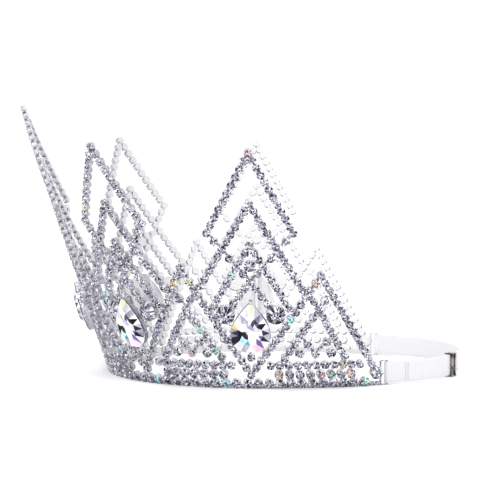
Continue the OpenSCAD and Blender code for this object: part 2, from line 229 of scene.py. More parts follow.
class Group(Wiring):
    """A shader group in the making."""

    NUMBER, COLOUR = "NodeSocketFloat", "NodeSocketColor"

    def __init__(self, name: str, inputs: dict, outputs: tuple) -> None:
        """Makes the group, with nothing between its inputs and outputs.

        Args:
            name: The group's name.
            inputs: The default of each named input, a number or a colour.
            outputs: The outputs' names.
        """
        super().__init__(bpy.data.node_groups.new(name, "ShaderNodeTree"))
        sockets = self.tree.interface
        for label, default in inputs.items():
            kind = self.COLOUR if isinstance(default, tuple) else self.NUMBER
            given = sockets.new_socket(name=label, in_out="INPUT", socket_type=kind)
            given.default_value = default
        for label in outputs:
            kind = self.COLOUR if label == "Color" else self.NUMBER
            sockets.new_socket(name=label, in_out="OUTPUT", socket_type=kind)
        self.given = self.node("NodeGroupInput").outputs
        self.out = self.node("NodeGroupOutput")

    def finish(self, *results: NodeSocket) -> NodeTree:
        """Feeds the group's outputs.

        Args:
            results: What feeds each output, in order.

        Returns:
            The group's node tree.
        """
        for place, result in enumerate(results):
            self.feed(result, self.out.inputs[place])
        return self.tree


class SharedGroups:
    """The shader groups that several finishes use, each built once."""

    SURFACE = ("Color", "Roughness", "Height")
    # Painted reflections: a facet's tone picks its colour on this ramp, near-black violet to white, in
    # place of what the facet would reflect.
    FACET_STOPS = [
        (0.0, (0.006, 0.004, 0.011)),
        (0.22, (0.055, 0.05, 0.085)),
        (0.42, (0.27, 0.26, 0.35)),
        (0.62, (0.55, 0.545, 0.63)),
        (0.82, (0.93, 0.93, 0.96)),
        (1.0, (1.0, 1.0, 1.0)),
    ]
    # Painted glints: the rainbow colours that a facet's fire picks, painted where the stone's fire
    # would flash.
    FIRE_STOPS = [
        (0.0, (0.08, 0.66, 0.86)),
        (0.2, (0.3, 0.95, 0.95)),
        (0.36, (0.25, 0.85, 0.4)),
        (0.5, (0.75, 0.95, 0.2)),
        (0.64, (1.0, 0.62, 0.12)),
        (0.8, (1.0, 0.38, 0.6)),
        (1.0, (0.3, 0.2, 0.78)),
    ]
    FACET_ROUGH, CLOUD_ROUGH = 0.03, 0.06
    # Where the dark patches start, how far they fade in, and their roughness; the patches are partly
    # wear and partly painted shade.
    DULL_FROM, DULL_OVER, DULL_ROUGH = 0.42, 0.2, 0.4
    SCRATCHES = 6.0
    # Where the painted-light mask turns from the lighter inner face to the darker front.
    TURNED_AWAY, TURN_OVER = 0.5, 1.1
    FUZZ_SCALE, FUZZ_SHARE, CLOTH_ROUGH = 900.0, 0.3, 0.6

    def __init__(self) -> None:
        """Builds the groups."""
        self.facet_fire = self.build_facet_fire()
        self.wear_and_shade = self.build_wear_and_shade()
        self.painted_light_mask = self.build_painted_light_mask()
        self.weave = self.build_weave()

    def build_facet_fire(self) -> NodeTree:
        """Returns the group that paints a facet's reflection and fire glint into its colour, from its
        tone, fire and coat.
        """
        inputs = {"Tone": 0.5, "Fire": 0.0, "Coat": 0.0, "Cloud": 0.1, "Scale": 800.0}
        group = Group("facet_fire", inputs, self.SURFACE)
        # Noise that shifts each facet's painted reflection tone and also gives its roughness and bump.
        cloud = group.noise(group.given["Scale"], 2.0)
        shift = group.maths("MULTIPLY", group.maths("SUBTRACT", cloud, 0.5), group.given["Cloud"])
        tone = group.maths("ADD", group.given["Tone"], shift)
        reflected = group.ramp(tone, self.FACET_STOPS)
        fire = group.ramp(group.given["Fire"], self.FIRE_STOPS)
        colour = group.blend(group.given["Coat"], reflected, fire)
        rough = group.maths("ADD", group.maths("MULTIPLY", cloud, self.CLOUD_ROUGH), self.FACET_ROUGH)
        return group.finish(colour, rough, cloud)

    def build_wear_and_shade(self) -> NodeTree:
        """Returns the group for a polished metal's fine scratches and dark patches, which are partly
        wear and partly painted shade.
        """
        clean, worn_and_shaded = (1, 1, 1, 1), (0.5, 0.5, 0.5, 1)
        inputs = {"Clean": clean, "Worn And Shaded": worn_and_shaded, "Amount": 0.5, "Scale": 300.0, "Shine": 0.15}
        group = Group("wear_and_shade", inputs, self.SURFACE)
        patches = group.noise(group.given["Scale"], 3.0)
        fine = group.noise(group.maths("MULTIPLY", group.given["Scale"], self.SCRATCHES), 1.0)
        above = group.maths("SUBTRACT", patches, self.DULL_FROM)
        level = group.maths("DIVIDE", above, self.DULL_OVER, clamp=True)
        darkened = group.maths("MULTIPLY", level, group.given["Amount"])
        colour = group.blend(darkened, group.given["Clean"], group.given["Worn And Shaded"])
        matt = group.maths("MULTIPLY", darkened, self.DULL_ROUGH)
        return group.finish(colour, group.maths("ADD", group.given["Shine"], matt), fine)

    def build_painted_light_mask(self) -> NodeTree:
        """Returns the painted-light mask: 0 on the crown's inner face, which is painted lighter, and 1
        on its front and edges, which are painted darker.
        """
        group = Group("painted_light_mask", {"Flare": 0.3}, ("Mask",))
        place = group.node("ShaderNodeSeparateXYZ", group.place())
        behind = group.maths("MINIMUM", place.outputs["Y"], 0.0)
        outward = group.node("ShaderNodeCombineXYZ", place.outputs["X"], behind)
        unit = group.node("ShaderNodeVectorMath", outward.outputs[0], operation="NORMALIZE")
        dip = group.node("ShaderNodeCombineXYZ", 0.0, 0.0, group.given["Flare"])
        pair = unit.outputs[0], dip.outputs[0]
        lean = group.node("ShaderNodeVectorMath", *pair, operation="SUBTRACT")
        pair = lean.outputs[0], group.node("ShaderNodeNewGeometry").outputs["Normal"]
        facing = group.node("ShaderNodeVectorMath", *pair, operation="DOT_PRODUCT")
        above = group.maths("ADD", facing.outputs["Value"], self.TURNED_AWAY)
        return group.finish(group.maths("DIVIDE", above, self.TURN_OVER, clamp=True))

    def build_weave(self) -> NodeTree:
        """Returns the group for threads that cross, along and across a woven strip."""
        light, shade = (1, 1, 1, 1), (0.7, 0.7, 0.7, 1)
        inputs = {"Along": 0.0, "Across": 0.0, "Thread": 0.0004, "Light": light, "Shade": shade}
        group = Group("weave", inputs, self.SURFACE)
        waves = []
        for name in ("Along", "Across"):
            turns = group.maths("DIVIDE", group.given[name], group.given["Thread"])
            waves.append(group.maths("SINE", group.maths("MULTIPLY", turns, math.tau), 0.0))
        cross = group.maths("MULTIPLY", waves[0], waves[1])
        height = group.maths("ADD", group.maths("MULTIPLY", cross, 0.5), 0.5)
        fuzz = group.maths("MULTIPLY", group.noise(self.FUZZ_SCALE, 2.0), self.FUZZ_SHARE)
        level = group.maths("ADD", group.maths("MULTIPLY", height, 1 - self.FUZZ_SHARE), fuzz)
        colour = group.blend(level, group.given["Shade"], group.given["Light"])
        return group.finish(colour, group.maths("ADD", self.CLOTH_ROUGH, fuzz), level)


class Surface(Wiring):
    """A material in the making."""

    BUMP = 0.5

    def __init__(self, name: str) -> None:
        """Makes the material, with its Principled BSDF."""
        self.material = bpy.data.materials.new(name)
        self.material.use_nodes = True
        super().__init__(self.material.node_tree)
        self.shader = self.tree.nodes["Principled BSDF"]

    def value(self, name: str) -> NodeSocket:
        """Returns the socket that reads one of a mesh's named values."""
        return self.node("ShaderNodeAttribute", attribute_name=name).outputs["Fac"]

    def group(self, tree: NodeTree, values: dict) -> Node:
        """Returns a shader group's node, placed and fed by its inputs' names."""
        return self.fill(self.node("ShaderNodeGroup", node_tree=tree), values)

    def cover(self, tree: NodeTree, values: dict, relief: float) -> None:
        """Feeds the shader from a group's colour, roughness and height.

        Args:
            tree: The group's node tree.
            values: A number, a colour or a socket for each named input.
            relief: How deep the bump is, in metres.
        """
        given, bump = self.group(tree, values).outputs, self.node("ShaderNodeBump")
        self.fill(bump, {"Strength": self.BUMP, "Distance": relief, "Height": given["Height"]})
        self.set({"Base Color": given["Color"], "Roughness": given["Roughness"]})
        self.set({"Normal": bump.outputs["Normal"]})

    def set(self, values: dict) -> Material:
        """Feeds the shader's named inputs and returns the material."""
        self.fill(self.shader, values)
        return self.material


@dataclass(frozen=True)
class CutCrystal:
    """A foil-backed cut stone: every facet has a painted reflection tone, and some have painted fire
    glints.

    Attributes:
        name: The material's name.
        slot: The record's slot; not used.
        cloud: How much noise shifts a facet's painted reflection tone.
        scale: How fine that drift is.
        metal: How much a facet mirrors its surroundings.
    """

    name: str
    slot: Slot
    cloud: float
    scale: float
    metal: float

    RELIEF = 0.01 * MM

    def make(self, groups: SharedGroups) -> Material:
        """Returns the finish as a material."""
        surface = Surface(self.name)
        # The facet's colour is painted reflection and glint, from its tone, fire and coat.
        surface.cover(groups.facet_fire, {
            "Tone": surface.value("tone"),
            "Fire": surface.value("fire"),
            "Coat": surface.value("coat"),
            "Cloud": self.cloud,
            "Scale": self.scale,
        }, self.RELIEF)
        return surface.set(
            {"Metallic": self.metal, "IOR": 1.5, "Coat Weight": 0.08, "Coat Roughness": 0.02})


@dataclass(frozen=True)
class PolishedMetal:
    """A plated metal with fine wear, and dark patches that are partly wear and partly painted shade.

    Attributes:
        name: The material's name.
        slot: The record's slot; not used.
        clean: The colour where it is bright.
        worn_and_shaded: The colour of the dark patches, partly wear and partly painted shade.
        amount: How much of it the dark patches cover.
        scale: How fine the dull patches are.
        shine: The roughness where it is bright.
        inner: The lighter colour painted on the crown's inner face as if more light fell there, if it
            is another one.
    """

    name: str
    slot: Slot
    clean: tuple
    worn_and_shaded: tuple
    amount: float
    scale: float
    shine: float
    inner: tuple = ()

    RELIEF = 0.02 * MM

    def make(self, groups: SharedGroups) -> Material:
        """Returns the finish as a material."""
        surface = Surface(self.name)
        clean, amount, shine = (*self.clean, 1), self.amount, self.shine
        # Painted light: the inner face gets the lighter colour and few dark patches, so it looks lit,
        # while the front keeps the darker clean colour.
        if self.inner:
            mask = surface.group(groups.painted_light_mask, {"Flare": FLARE_RISE}).outputs["Mask"]
            clean = surface.blend(mask, (*self.inner, 1), clean)
            front = surface.maths("MULTIPLY", mask, self.amount - INNER_WEAR_AND_SHADE)
            amount = surface.maths("ADD", front, INNER_WEAR_AND_SHADE)
            matt = surface.maths("MULTIPLY", surface.maths("SUBTRACT", 1.0, mask), INNER_MATT)
            shine = surface.maths("ADD", matt, self.shine)
        # Dark patches, partly wear and partly painted shade, over the clean colour.
        surface.cover(groups.wear_and_shade, {
            "Clean": clean,
            "Worn And Shaded": (*self.worn_and_shaded, 1),
            "Amount": amount,
            "Scale": self.scale,
            "Shine": shine,
        }, self.RELIEF)
        return surface.set({"Metallic": 1.0})


@dataclass(frozen=True)
class WovenFinish:
    """A woven cloth or a twisted thread.

    Attributes:
        name: The material's name.
        slot: The record's slot; not used.
        light: The colour of a raised thread.
        shade: The colour between threads.
        thread: The distance from one thread to the next, in metres.
    """

    name: str
    slot: Slot
    light: tuple
    shade: tuple
    thread: float

    RELIEF = 0.12 * MM

    def make(self, groups: SharedGroups) -> Material:
        """Returns the finish as a material."""
        surface = Surface(self.name)
        surface.cover(groups.weave, {
            "Along": surface.value("along"),
            "Across": surface.value("across"),
            "Thread": self.thread,
            "Light": (*self.light, 1),
            "Shade": (*self.shade, 1),
        }, self.RELIEF)
        return surface.set({"Sheen Weight": 0.3, "Specular IOR Level": 0.3})


# Painted light: the lighter colour that the crown's inner face gets.
LIT_INNER_SILVER = (0.73, 0.73, 0.745)
# Crystals whose facet colours are painted reflections and glints.
CHAIN_CRYSTAL = CutCrystal("chain_crystal", Slot.CRYSTAL, cloud=0.25, scale=1400.0, metal=0.8)
DROP_CRYSTAL = CutCrystal("pear_crystal", Slot.DROP, cloud=0.16, scale=420.0, metal=0.85)
# For each metal below, the near-black second colour is that of the dark patches, partly wear and partly
# painted shade.
CUP_SILVER = PolishedMetal(
    "cup_silver", Slot.METAL, clean=(0.56, 0.55, 0.64), worn_and_shaded=(0.03, 0.026, 0.045),
    amount=0.95, scale=1500.0, shine=0.2, inner=LIT_INNER_SILVER,
)
CLAW_SILVER = PolishedMetal(
    "claw_silver", Slot.METAL, clean=(0.8, 0.79, 0.87), worn_and_shaded=(0.04, 0.035, 0.06),
    amount=0.95, scale=1300.0, shine=0.12, inner=LIT_INNER_SILVER,
)
SLIDER_STEEL = PolishedMetal(
    "slider_steel", Slot.SLIDER, clean=(0.34, 0.31, 0.3), worn_and_shaded=(0.015, 0.012, 0.014),
    amount=0.95, scale=420.0, shine=0.12,
)
WHITE_ELASTIC = WovenFinish(
    "white_elastic", Slot.ELASTIC, light=(0.76, 0.76, 0.775), shade=(0.64, 0.64, 0.665), thread=0.5 * MM
)
WHITE_THREAD = WovenFinish(
    "white_thread", Slot.THREAD, light=(0.72, 0.72, 0.74), shade=(0.5, 0.5, 0.53), thread=0.3 * MM
)
FINISHES = (
    CHAIN_CRYSTAL, DROP_CRYSTAL, CUP_SILVER, CLAW_SILVER, SLIDER_STEEL, WHITE_ELASTIC, WHITE_THREAD
)


class Finishes:
    """Every finish of the tiara as a material."""

    def __init__(self) -> None:
        """Makes the materials."""
        groups = SharedGroups()
        self.materials = {finish: finish.make(groups) for finish in FINISHES}

    def dress(self, node: str, finish: object) -> None:
        """Gives a shown CAD node its finish.

        Args:
            node: The CAD node's name.
            finish: One of the finishes above.
        """
        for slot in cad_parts[node].material_slots:
            slot.material = self.materials[finish]

    def place(self, piece: Object, finish: object, body: str, *nodes: str) -> None:
        """Gives a new piece its finish, its body and the CAD nodes that it stands for.

        Args:
            piece: The new piece, in place.
            finish: One of the finishes above.
            body: The CAD body it moves with.
            nodes: The CAD nodes it replaces, if any.
        """
        piece.data.materials.append(self.materials[finish])
        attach(piece, body)
        if nodes:
            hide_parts(*nodes)
        log.info("%s: %d faces on %s", piece.name, len(piece.data.polygons), body)


# --- Meshes ---


def put(name: str, data: bpy.types.ID) -> Object:
    """Puts a new object in the scene.

    Args:
        name: The object's name.
        data: Its mesh, light or camera.

    Returns:
        The object.
    """
    thing = bpy.data.objects.new(name, data)
    bpy.context.scene.collection.objects.link(thing)
    return thing


class Draft:
    """A mesh in the making: stones have a look for each face, cloth a place for each point."""

    LABELS = {"FACE": ("tone", "fire", "coat"), "POINT": ("along", "across")}

    def __init__(self) -> None:
        """Starts empty."""
        self.points: list = []
        self.faces: list = []
        self.values: dict = {"FACE": [], "POINT": []}

    def add(self, points: list, faces: list, looks: list = (), places: list = ()) -> None:
        """Adds a closed shape.

        Args:
            points: Its points, as Vectors.
            faces: Its faces, as tuples of places in points.
            looks: (tone, fire, coat) for each face, if it is a stone: its painted reflection and glint.
            places: (along, across) for each point, if it is woven.
        """
        start = len(self.points)
        self.points.extend(points)
        self.faces.extend(tuple(start + i for i in face) for face in faces)
        self.values["FACE"].extend(looks)
        self.values["POINT"].extend(places)

    def build(self, name: str, smooth: bool = False) -> Object:
        """Makes the piece.

        Args:
            name: The piece's name.
            smooth: True for a rounded piece, False for a faceted one.

        Returns:
            The new object, in the scene.
        """
        mesh = bpy.data.meshes.new(name)
        mesh.from_pydata([tuple(p) for p in self.points], [], self.faces)
        shape = bmesh.new()
        shape.from_mesh(mesh)
        bmesh.ops.recalc_face_normals(shape, faces=shape.faces)
        shape.to_mesh(mesh)
        shape.free()
        for domain, rows in self.values.items():
            for place, label in enumerate(self.LABELS[domain] if rows else ()):
                values = mesh.attributes.new(label, "FLOAT", domain)
                values.data.foreach_set("value", [row[place] for row in rows])
        mesh.polygons.foreach_set("use_smooth", [smooth] * len(mesh.polygons))
        mesh.update()
        return put(name, mesh)


def loose_solids(node: str) -> list:
    """Splits a CAD node into its separate solids.

    Args:
        node: The CAD node's name.

    Returns:
        One array of points for each solid, in the mesh's order.
    """
    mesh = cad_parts[node].data
    points = np.empty(len(mesh.vertices) * 3)
    mesh.vertices.foreach_get("co", points)
    points = points.reshape(-1, 3)
    welded, member = np.unique(np.round(points / (WELD_MM * MM)), axis=0, return_inverse=True)
    member = member.reshape(-1)
    parent = list(range(len(welded)))

    def root(i: int) -> int:
        """Returns the first point of i's solid."""
        while parent[i] != i:
            parent[i] = parent[parent[i]]
            i = parent[i]
        return i

    for edge in mesh.edges:
        a, b = root(member[edge.vertices[0]]), root(member[edge.vertices[1]])
        if a != b:
            parent[max(a, b)] = min(a, b)
    solids: dict = {}
    for i in range(len(welded)):
        solids.setdefault(root(i), []).append(welded[i] * WELD_MM * MM)
    return [np.array(solid) for solid in solids.values()]


@dataclass
class Seat:
    """Where a stone sits, in metres.

    Attributes:
        base: The middle of the stone's lowest plane.
        out: The way it faces.
        up: Its own upward direction.
        side: Its own sideways direction.
        width: Its greatest width.
        height: Its greatest height, along up.
        depth: Its thickness, along out.
    """

    base: Vector
    out: Vector
    up: Vector
    side: Vector
    width: float
    height: float
    depth: float

    @classmethod
    def of(cls, points: np.ndarray) -> "Seat":
        """Reads a stone's seat from its CAD solid.

        Args:
            points: The solid's points.

        Returns:
            The seat.
        """
        middle = points.mean(axis=0)
        _, axes = np.linalg.eigh(np.cov((points - middle).T))
        out = Vector(axes[:, 0])
        if out.dot(Vector((middle[0], min(middle[1], 0.0), 0))) < 0:
            out = -out
        up = (Vector((0, 0, 1)) - out * out.z).normalized()
        side = up.cross(out)
        spans = []
        for way in (side, up, out):
            along = points @ np.array(way)
            spans.append((along.min(), along.max()))
        base = side * sum(spans[0]) / 2 + up * sum(spans[1]) / 2 + out * spans[2][0]
        return cls(base, out, up, side, *(most - least for least, most in spans))

    def point(self, across: float, upward: float, outward: float) -> Vector:
        """Returns the point at these distances from the base's middle."""
        return self.base + self.side * across + self.up * upward + self.out * outward


@dataclass
class RoundStone:
    """A round cut stone.

    Attributes:
        seat: Where it sits.
        rng: Seeded random numbers.
        fiery: How likely the stone is to have fire, glints painted on some facets.
    """

    seat: Seat
    rng: random.Random
    fiery: float

    SIDES = 8
    TABLE, GIRDLE_FOOT, TABLE_DIP = 0.54, 0.98, 0.985
    # Painted reflections: the tones a facet may get, near-black to white, and how often each comes.
    TONES = (0.0, 0.1, 0.28, 0.42, 0.55, 0.72, 0.9, 1.0)
    SHARES = (15, 13, 16, 20, 15, 9, 6, 6)
    TONE_DRIFT = 0.04
    # Painted glints: how likely a facet of a fiery stone is to get its glint colour, and how strongly.
    COATED, COATS = 0.25, (0.7, 1.0)
    LARGE = 2.4 * MM
    OVERHANG = 0.36 * MM
    CROWN_SHARE = 0.18
    LIFT, GIRDLE_LIFT, CULET_DROP = 0.1 * MM, 0.01 * MM, 0.3 * MM
    CLAW_REACH = 1.85 * MM
    CLAW_OUT, CLAW_IN, CLAW_TIP = 0.09 * MM, 0.1 * MM, 0.5 * MM
    CLAW_FOOT, CLAW_BEND, CLAW_RISE = 0.7 * MM, 0.28 * MM, 0.38 * MM
    CLAW_WIDTHS = (0.3 * MM, 0.3 * MM, 0.26 * MM, 0.16 * MM)
    CLAW_HALF = 0.09 * MM

    @property
    def reach(self) -> float:
        """Returns the stone's radius over its cup's rim."""
        return self.seat.width / 2 + self.OVERHANG

    @property
    def rim(self) -> float:
        """Returns the height of the cup's rim above the stone's base."""
        return self.seat.depth - self.CROWN_SHARE * self.seat.width + self.LIFT

    def ring(self, count: int, radius: float, high: float, shift: float) -> list:
        """Returns count points on a circle of that radius, at that height above the base."""
        angles = [math.tau * (i + shift) / count for i in range(count)]
        return [self.seat.point(radius * math.sin(a), radius * math.cos(a), high) for a in angles]

    def look(self, fire: float) -> tuple:
        """Returns one facet's painted reflection tone, and the fire and coat of its painted glint."""
        drift = self.TONE_DRIFT
        tone = self.rng.choices(self.TONES, self.SHARES)[0] + self.rng.uniform(-drift, drift)
        coated = fire >= 0 and self.rng.random() < self.COATED
        coat = self.rng.uniform(*self.COATS) if coated else 0.0
        return min(max(tone, 0.0), 1.0), max(fire, 0.0), coat

    def cut(self, draft: Draft, turn: float) -> None:
        """Adds the stone to a draft.

        Args:
            draft: The draft that gets it.
            turn: How far it is turned in its cup, in parts of one facet.
        """
        small = self.reach < self.LARGE
        n = self.SIDES if small else 2 * self.SIDES
        table = self.ring(n, self.reach * self.TABLE, self.seat.depth, turn)
        star = self.ring(n, self.reach * self.TABLE / 2, self.seat.depth, turn + 0.5)
        high = self.ring(2 * n, self.reach, self.rim + self.LIFT, 2 * turn)
        foot = self.rim + self.GIRDLE_LIFT
        low = self.ring(2 * n, self.reach * self.GIRDLE_FOOT, foot, 2 * turn)
        culet = [self.seat.point(0, 0, self.rim - self.CULET_DROP)]
        top = [self.seat.point(0, 0, self.seat.depth * self.TABLE_DIP)]
        at_table, at_high, at_low = 0, n, 3 * n
        at_star, at_culet, at_top = 5 * n, 6 * n, 6 * n + 1
        faces = []
        for i in range(n):
            j, k = (i + 1) % n, 2 * i
            after, last = at_high + (k + 1) % (2 * n), at_high + (k + 2) % (2 * n)
            faces += [
                (at_top, at_star + j, at_star + i),
                (at_star + i, at_table + j, at_table + i),
                (at_star + i, at_star + j, at_table + j),
                (at_table + i, at_table + j, after),
                (at_table + i, after, at_high + k),
                (at_table + j, last, after),
            ]
        foil = []
        for k in range(2 * n):
            m = (k + 1) % (2 * n)
            faces.append((at_high + k, at_high + m, at_low + m, at_low + k))
            foil.append((at_culet, at_low + k, at_low + m))
        # Painted fire: a few small stones get one glint colour for their coated facets.
        fire = self.rng.random() if small and self.rng.random() < self.fiery else -1.0
        looks = [self.look(fire) for _ in faces] + [FOIL_LOOK] * len(foil)
        draft.add(table + high + low + star + culet + top, faces + foil, looks)

    def claw(self, draft: Draft, angle: float) -> None:
        """Adds one claw that holds the stone's edge.

        Args:
            draft: The draft that gets it.
            angle: The claw's place round the stone.
        """
        radius, edge = self.reach, self.rim
        size = math.sqrt(radius / self.CLAW_REACH)
        profile = [
            (radius + self.CLAW_OUT, edge - self.CLAW_FOOT),
            (radius + self.CLAW_OUT, edge + self.LIFT),
            (radius - self.CLAW_IN, edge + self.CLAW_BEND),
            (radius - self.CLAW_TIP * size, edge + self.LIFT + self.CLAW_RISE * size),
        ]
        half = self.CLAW_HALF
        lifts = [Vector((half, 0)), Vector((half, half)), Vector((0, half)), Vector((-half, half))]
        points, faces = [], []
        for (away, high), wide, lift in zip(profile, self.CLAW_WIDTHS, lifts):
            for sign_w in (-1, 1):
                for sign_t in (-1, 1):
                    r = away + lift.x * sign_t
                    h = high + lift.y * sign_t
                    w = wide * size * sign_w
                    points.append(self.seat.point(
                        r * math.sin(angle) + w * math.cos(angle),
                        r * math.cos(angle) - w * math.sin(angle), h))
        for i in range(len(profile) - 1):
            a, b = 4 * i, 4 * (i + 1)
            for p, q in ((0, 1), (1, 3), (3, 2), (2, 0)):
                faces.append((a + p, a + q, b + q, b + p))
        end = 4 * (len(profile) - 1)
        faces.extend([(0, 2, 3, 1), (end, end + 1, end + 3, end + 2)])
        draft.add(points, faces)


@dataclass(frozen=True)
class Gleam:
    """A painted reflection patch of one tone on a drop, from -1 to 1 across and up.

    Attributes:
        across: Where it is across the stone.
        up: Where it is up the stone.
        tone: Its painted reflection tone.
        fire: Its painted glint's place in the rainbow.
        coat: How strong that painted glint is.
    """

    across: float
    up: float
    tone: float
    fire: float = 0.0
    coat: float = 0.0


@dataclass
class PearDrop:
    """A pear-shaped cut drop.

    Attributes:
        seat: Where it sits.
        rng: Seeded random numbers.
        mirrored: True on the wearer's right side.
    """

    seat: Seat
    rng: random.Random
    mirrored: bool

    SIDES = 16
    OVERHANG = 0.65 * MM
    WIDEST = 1.54
    TONE_DRIFT, COAT_LEAST = 0.1, 0.5
    TABLE, OUTER, INNER, CENTRE = (0.62, 1.0), (0.42, 0.99), (0.22, 0.98), 0.97
    GIRDLE_TOP, GIRDLE_FOOT, UNDER = (1.0, 0.46), (1.0, 0.38), (0.5, 0.3)
    # Painted reflections: the light, dark and coloured patches that each facet of a drop shows, placed
    # across and up the stone.
    GLEAMS = tuple(Gleam(*patch) for patch in (
        (0.05, 0.92, 0.9), (0.12, 0.78, 0.85, 0.46, 0.95), (-0.15, 0.8, 0.9),
        (0.0, 0.62, 1.0), (-0.24, 0.6, 0.75), (0.3, 0.6, 0.7),
        (0.0, 0.42, 1.0), (-0.46, 0.36, 0.56), (-0.28, 0.3, 0.6), (0.3, 0.42, 0.4),
        (0.2, 0.26, 0.2), (0.42, 0.3, 0.55), (0.62, 0.4, 0.6), (-0.7, 0.3, 0.66),
        (-0.88, 0.1, 0.5, 0.64, 0.95), (-0.62, 0.1, 0.95), (-0.4, 0.1, 1.0),
        (0.04, 0.07, 0.6, 0.98, 0.5), (0.3, 0.04, 0.66), (0.52, 0.14, 0.03),
        (0.64, 0.22, 0.85), (0.78, 0.24, 0.05), (0.92, 0.1, 0.8),
        (-0.12, -0.06, 0.7, 0.62, 0.25), (-0.43, -0.2, 0.02), (-0.65, -0.22, 0.05),
        (-0.9, -0.12, 0.5), (0.04, -0.2, 1.0), (0.25, -0.16, 0.9), (0.5, -0.12, 0.75),
        (0.68, -0.2, 0.16), (0.9, -0.14, 0.5),
        (-0.42, -0.4, 0.95, 0.04, 0.9), (-0.3, -0.46, 0.9, 0.12, 0.6),
        (-0.22, -0.36, 0.12), (-0.66, -0.44, 0.12), (-0.3, -0.58, 0.3, 0.0, 0.5),
        (0.06, -0.47, 0.95, 0.8, 0.12), (0.3, -0.38, 0.85), (0.46, -0.47, 0.2, 0.98, 0.7),
        (0.62, -0.5, 0.06), (0.3, -0.7, 0.9, 0.82, 0.6), (-0.04, -0.75, 0.85),
        (-0.32, -0.74, 0.6), (0.06, -0.92, 0.95), (0.7, -0.66, 0.9), (-0.6, -0.7, 0.85),
    ))

    def ring(self, count: int, shares: tuple, shift: float = 0) -> list:
        """Returns the points of one pear-shaped ring.

        Args:
            count: How many points it has.
            shares: Its size and its height, as shares of the drop's.
            shift: How far it is turned, in parts of one step.

        Returns:
            (across, up, point) for each point.
        """
        size, high = shares[0], self.seat.depth * shares[1]
        half_w = (self.seat.width + 2 * self.OVERHANG) / self.WIDEST * size
        half_h = (self.seat.height + 2 * self.OVERHANG) / 2 * size
        found = []
        for i in range(count):
            t = math.tau * (i + shift) / count
            x, y = half_w * math.sin(t) * math.sin(t / 2), half_h * math.cos(t)
            found.append((x, y, self.seat.point(x, y, high)))
        return found

    def look(self, corners: list) -> tuple:
        """Returns the painted tone, fire and coat of the gleam nearest to a facet's middle."""
        x = sum(c[0] for c in corners) / len(corners) / (self.seat.width / 2 + self.OVERHANG)
        y = sum(c[1] for c in corners) / len(corners) / (self.seat.height / 2 + self.OVERHANG)
        if self.mirrored:
            x = -x
        nearest = min(self.GLEAMS, key=lambda g: (g.across - x) ** 2 + (g.up - y) ** 2)
        tone = nearest.tone + self.rng.uniform(-self.TONE_DRIFT, self.TONE_DRIFT)
        coat = nearest.coat * self.rng.uniform(self.COAT_LEAST, 1.0)
        return min(max(tone, 0.0), 1.0), nearest.fire, coat

    def cut(self, draft: Draft) -> None:
        """Adds the drop to a draft."""
        n = self.SIDES
        rings = self.ring(n, self.TABLE) + self.ring(n, self.OUTER, 0.5) + self.ring(n, self.INNER)
        rings += self.ring(2 * n, self.GIRDLE_TOP) + self.ring(2 * n, self.GIRDLE_FOOT)
        rings += self.ring(n, self.UNDER)
        rings.append((0.0, 0.0, self.seat.point(0, 0, self.seat.depth * self.CENTRE)))
        at_outer, at_inner, at_high = n, 2 * n, 3 * n
        at_low, at_under, at_centre = 5 * n, 7 * n, 8 * n
        faces, foil = [], []
        for i in range(n):
            j, k = (i + 1) % n, 2 * i
            after, last = at_high + k + 1, at_high + (k + 2) % (2 * n)
            below, next_low = at_low + k + 1, at_low + (k + 2) % (2 * n)
            faces += [
                (at_centre, at_inner + i, at_inner + j),
                (at_inner + i, at_outer + i, at_inner + j),
                (at_inner + j, at_outer + i, at_outer + j),
                (at_outer + i, i, j),
                (at_outer + i, j, at_outer + j),
                (i, after, j),
                (i, at_high + k, after),
                (j, after, last),
            ]
            foil += [
                (at_under + i, below, at_low + k),
                (at_under + i, at_under + j, below),
                (at_under + j, next_low, below),
            ]
        for k in range(2 * n):
            m = (k + 1) % (2 * n)
            faces.append((at_high + k, at_low + k, at_low + m, at_high + m))
        foil.append(tuple(at_under + i for i in range(n)))
        looks = [self.look([rings[i] for i in face]) for face in faces]
        looks += [FOIL_LOOK] * len(foil)
        draft.add([point for _, _, point in rings], faces + foil, looks)


# --- Sub-assemblies ---


@dataclass
class StoneSet:
    """The stones and claws of one CAD node of stones.

    Attributes:
        name: What the names of the node and the new pieces start with.
        finishes: The materials.
        seed: The random numbers' seed.
        fiery: How likely a stone is to have fire, glints painted on some facets.
    """

    name: str
    finishes: Finishes
    seed: int
    fiery: float = FIERY

    def build(self) -> None:
        """Cuts the stones, bends their claws and puts both in place."""
        rng, node = random.Random(self.seed), f"{self.name}_stones"
        seats = [Seat.of(solid) for solid in loose_solids(node)]
        centres = np.array([seat.base for seat in seats])
        stones, claws = Draft(), Draft()
        for place, seat in enumerate(seats):
            stone = RoundStone(seat, rng, self.fiery)
            stone.cut(stones, rng.random())
            gaps = np.linalg.norm(centres - centres[place], axis=1)
            gaps[place] = np.inf
            way = Vector(centres[int(gaps.argmin())]) - seat.base
            along = math.atan2(way.dot(seat.side), way.dot(seat.up))
            for quarter in range(4):
                stone.claw(claws, along + math.tau * (quarter + 0.5) / 4)
        cut = stones.build(f"{self.name}_cut_stones")
        self.finishes.place(cut, CHAIN_CRYSTAL, CROWN, node)
        self.finishes.place(claws.build(f"{self.name}_claws"), CLAW_SILVER, CROWN)


@dataclass
class SmallPeak:
    """A small peak: its chain and its stones.

    Attributes:
        name: Which peak it is.
        finishes: The materials.
        seed: The random numbers' seed.
    """

    name: Enum
    finishes: Finishes
    seed: int

    METAL = ("chain",)

    def build(self) -> None:
        """Builds and dresses the peak."""
        start = self.name.value
        for part in self.METAL:
            self.finishes.dress(f"{start}_{part}", CUP_SILVER)
        StoneSet(start, self.finishes, self.seed).build()


